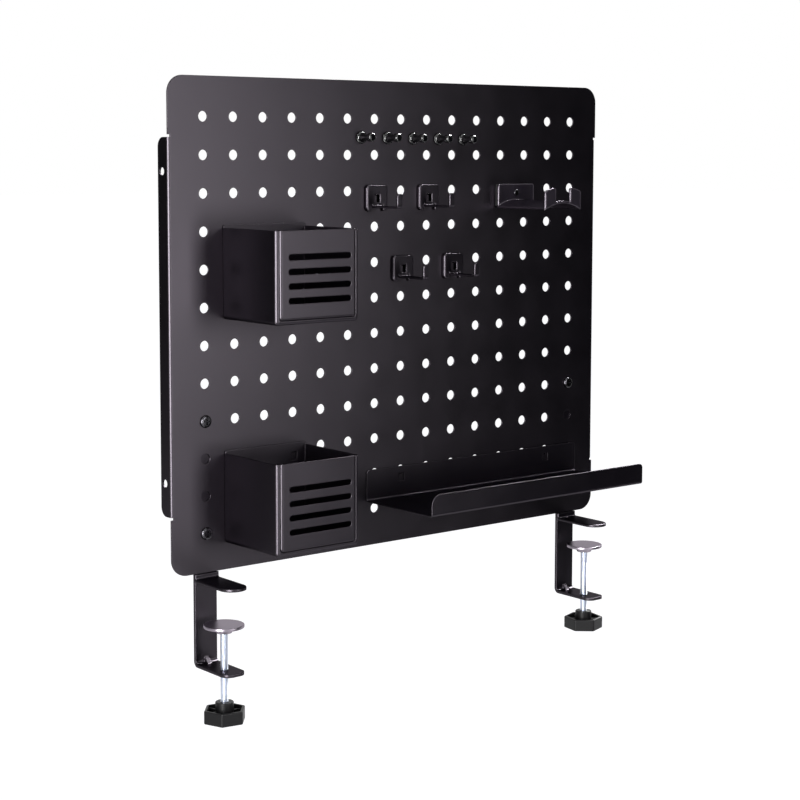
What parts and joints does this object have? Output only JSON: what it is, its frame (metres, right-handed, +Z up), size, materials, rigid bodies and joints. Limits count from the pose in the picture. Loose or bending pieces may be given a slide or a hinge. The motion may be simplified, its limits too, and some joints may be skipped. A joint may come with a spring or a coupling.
{
  "type": "desk pegboard",
  "caption": "Perforated steel panel held upright at a desk's edge by screw clamps, with hang-on bins, a tray, J-hooks, a magnetic headset hanger and magnet pins.",
  "frame": {"origin": "midway between the two clamps, at the height of the desk's top and on the panel's front face", "axes": "+X to the right as seen from the front, +Y to the back, +Z up along the panel"},
  "size_m": [0.586, 0.1293, 0.6445],
  "materials": {
    "panel_coat": "fine-textured matte black powder coat",
    "clamp_coat": "satin black powder coat",
    "accessory_coat": "fine-textured black powder coat",
    "black_screw": "black-coated steel",
    "zinc_screw": "bright zinc plating",
    "knob_plastic": "moulded black plastic",
    "pin_plastic": "polished black plastic",
    "disc_magnet": "nickel plating",
    "magnet_sheet": "rubber-bonded magnet sheet"
  },
  "bodies": {
    "frame": {"pegboard_panel": "panel_coat", "panel_screws": "black_screw", "left_clamp_bracket": "clamp_coat", "right_clamp_bracket": "clamp_coat", "left_upper_jaw": "clamp_coat", "right_upper_jaw": "clamp_coat"},
    "left_pad": {"left_pressure_pad": "clamp_coat"},
    "left_screw": {"left_clamp_screw": "zinc_screw", "left_knob": "knob_plastic"},
    "right_pad": {"right_pressure_pad": "clamp_coat"},
    "right_screw": {"right_clamp_screw": "zinc_screw", "right_knob": "knob_plastic"},
    "upper_bin": {"upper_bin_body": "accessory_coat", "upper_bin_front": "accessory_coat"},
    "lower_bin": {"lower_bin_body": "accessory_coat", "lower_bin_front": "accessory_coat"},
    "tray": {"tray": "accessory_coat"},
    "j_hook_1": {"j_hook_1": "accessory_coat"},
    "j_hook_2": {"j_hook_2": "accessory_coat"},
    "j_hook_3": {"j_hook_3": "accessory_coat"},
    "j_hook_4": {"j_hook_4": "accessory_coat"},
    "hanger": {"headset_hanger": "accessory_coat", "hanger_magnet": "magnet_sheet", "hanger_rivet": "black_screw"},
    "pin_1": {"magnet_pin_1": "pin_plastic", "pin_magnet_1": "disc_magnet"},
    "pin_2": {"magnet_pin_2": "pin_plastic", "pin_magnet_2": "disc_magnet"},
    "pin_3": {"magnet_pin_3": "pin_plastic", "pin_magnet_3": "disc_magnet"},
    "pin_4": {"magnet_pin_4": "pin_plastic", "pin_magnet_4": "disc_magnet"},
    "pin_5": {"magnet_pin_5": "pin_plastic", "pin_magnet_5": "disc_magnet"}
  },
  "joints": [
    {"name": "left_pad_rise", "type": "slide", "parent": "frame", "child": "left_pad", "axis": [0, 0, 1], "range_m": [-0.03712, 0.0295]},
    {"name": "left_screw_turn", "type": "hinge", "parent": "left_pad", "child": "left_screw", "pos_m": [-0.252, -0.031, -0.06], "axis": [0, 0, 1], "range_deg": [-10693, 8497]},
    {"name": "right_pad_rise", "type": "slide", "parent": "frame", "child": "right_pad", "axis": [0, 0, 1], "range_m": [-0.05063, 0.016]},
    {"name": "right_screw_turn", "type": "hinge", "parent": "right_pad", "child": "right_screw", "pos_m": [0.252, -0.031, -0.06], "axis": [0, 0, 1], "range_deg": [-14581, 4609]},
    {"name": "upper_bin_lift", "type": "slide", "parent": "frame", "child": "upper_bin", "axis": [0, 0, 1], "range_m": [0, 0.0044]},
    {"name": "lower_bin_lift", "type": "slide", "parent": "frame", "child": "lower_bin", "axis": [0, 0, 1], "range_m": [0, 0.0044]},
    {"name": "tray_lift", "type": "slide", "parent": "frame", "child": "tray", "axis": [0, 0, 1], "range_m": [0, 0.0044]},
    {"name": "j_hook_1_lift", "type": "slide", "parent": "frame", "child": "j_hook_1", "axis": [0, 0, 1], "range_m": [0, 0.0044]},
    {"name": "j_hook_2_lift", "type": "slide", "parent": "frame", "child": "j_hook_2", "axis": [0, 0, 1], "range_m": [0, 0.0044]},
    {"name": "j_hook_3_lift", "type": "slide", "parent": "frame", "child": "j_hook_3", "axis": [0, 0, 1], "range_m": [0, 0.0044]},
    {"name": "j_hook_4_lift", "type": "slide", "parent": "frame", "child": "j_hook_4", "axis": [0, 0, 1], "range_m": [0, 0.0044]},
    {"name": "hanger_pull", "type": "slide", "parent": "frame", "child": "hanger", "axis": [0, -1, 0], "range_m": [0, 0.03]},
    {"name": "pin_1_pull", "type": "slide", "parent": "frame", "child": "pin_1", "axis": [0, -1, 0], "range_m": [0, 0.03]},
    {"name": "pin_2_pull", "type": "slide", "parent": "frame", "child": "pin_2", "axis": [0, -1, 0], "range_m": [0, 0.03]},
    {"name": "pin_3_pull", "type": "slide", "parent": "frame", "child": "pin_3", "axis": [0, -1, 0], "range_m": [0, 0.03]},
    {"name": "pin_4_pull", "type": "slide", "parent": "frame", "child": "pin_4", "axis": [0, -1, 0], "range_m": [0, 0.03]},
    {"name": "pin_5_pull", "type": "slide", "parent": "frame", "child": "pin_5", "axis": [0, -1, 0], "range_m": [0, 0.03]}
  ],
  "couplings": [
    {"joint": "left_screw_turn", "follows": "left_pad_rise", "rad_per_m": 5026.5},
    {"joint": "right_screw_turn", "follows": "right_pad_rise", "rad_per_m": 5026.5}
  ]
}
